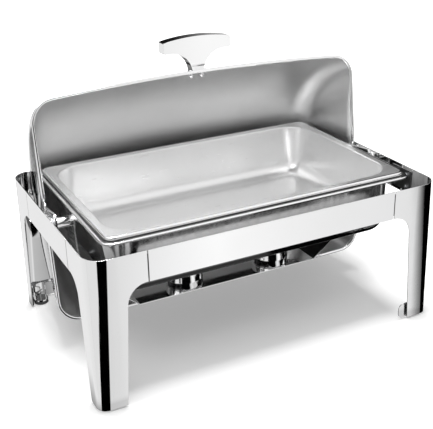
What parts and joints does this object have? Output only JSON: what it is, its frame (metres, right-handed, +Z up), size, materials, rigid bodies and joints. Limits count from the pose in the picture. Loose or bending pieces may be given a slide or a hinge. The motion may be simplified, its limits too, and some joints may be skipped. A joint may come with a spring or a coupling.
{
  "type": "roll-top chafing dish",
  "caption": "Full-size roll-top chafing dish: barrel lid on side pivots, lift-out food pan over a water pan, fuel holders on a hanging shelf, bent-sheet frame on legs.",
  "frame": {"origin": "centre of the footprint on the floor, midway between the four legs", "axes": "+X along the dish, -Y towards the server at the front, +Z up"},
  "size_m": [0.613, 0.395, 0.4769],
  "materials": {
    "mirror_steel": "mirror polished stainless sheet",
    "satin_steel": "fine satin stainless",
    "fastener_steel": "plain stainless fasteners",
    "dark_rubber": "dark grey moulded foot pads"
  },
  "bodies": {
    "frame": {"leg_front_left": "mirror_steel", "leg_front_right": "mirror_steel", "leg_rear_left": "mirror_steel", "leg_rear_right": "mirror_steel", "front_rail": "mirror_steel", "rear_rail": "mirror_steel", "side_rail_left": "mirror_steel", "side_rail_right": "mirror_steel", "splice_plates": "satin_steel", "splice_studs": "fastener_steel", "splice_nuts": "fastener_steel", "foot_front_left": "mirror_steel", "foot_front_right": "mirror_steel", "foot_rear_left": "mirror_steel", "foot_rear_right": "mirror_steel", "foot_pads": "dark_rubber", "foot_clips": "mirror_steel", "hinge_bracket_left": "mirror_steel", "hinge_bracket_right": "mirror_steel", "pivot_pin_left": "mirror_steel", "pivot_pin_right": "mirror_steel", "pivot_washers": "fastener_steel", "pivot_nuts": "fastener_steel", "cradle_end_left": "satin_steel", "cradle_end_right": "satin_steel", "fuel_shelf": "mirror_steel", "shelf_screws": "fastener_steel", "shelf_nuts": "fastener_steel"},
    "lid": {"lid_shell": "mirror_steel", "lid_lug_left": "mirror_steel", "lid_lug_right": "mirror_steel", "lug_rivets": "fastener_steel", "lid_handle": "mirror_steel", "handle_studs": "fastener_steel", "handle_washers": "fastener_steel", "handle_cap_nuts": "mirror_steel"},
    "water_pan": {"water_pan": "mirror_steel"},
    "food_pan": {"food_pan": "satin_steel"},
    "fuel_left": {"fuel_holder_left": "mirror_steel", "holder_grip_left": "mirror_steel", "fuel_cover_left": "mirror_steel", "damper_rivet_left": "fastener_steel"},
    "fuel_right": {"fuel_holder_right": "mirror_steel", "holder_grip_right": "mirror_steel", "fuel_cover_right": "mirror_steel", "damper_rivet_right": "fastener_steel"},
    "damper_left": {"damper_left": "satin_steel"},
    "damper_right": {"damper_right": "satin_steel"}
  },
  "joints": [
    {"name": "lid_roll", "type": "hinge", "parent": "frame", "child": "lid", "pos_m": [0, 0, 0.229], "axis": [1, 0, 0], "range_deg": [0, 97.5]},
    {"name": "water_pan_lift", "type": "slide", "parent": "frame", "child": "water_pan", "axis": [0, 0, 1], "range_m": [0, 0.018]},
    {"name": "food_pan_lift", "type": "slide", "parent": "water_pan", "child": "food_pan", "axis": [0, 0, 1], "range_m": [0, 0.024]},
    {"name": "fuel_left_pull", "type": "slide", "parent": "frame", "child": "fuel_left", "axis": [0, -1, 0], "range_m": [0, 0.25]},
    {"name": "fuel_right_pull", "type": "slide", "parent": "frame", "child": "fuel_right", "axis": [0, -1, 0], "range_m": [0, 0.25]},
    {"name": "damper_left_turn", "type": "hinge", "parent": "fuel_left", "child": "damper_left", "pos_m": [-0.074, 0.0245, 0.1301], "axis": [0, 0, 1], "range_deg": [0, 70]},
    {"name": "damper_right_turn", "type": "hinge", "parent": "fuel_right", "child": "damper_right", "pos_m": [0.098, 0.0245, 0.1301], "axis": [0, 0, 1], "range_deg": [0, 70]}
  ]
}
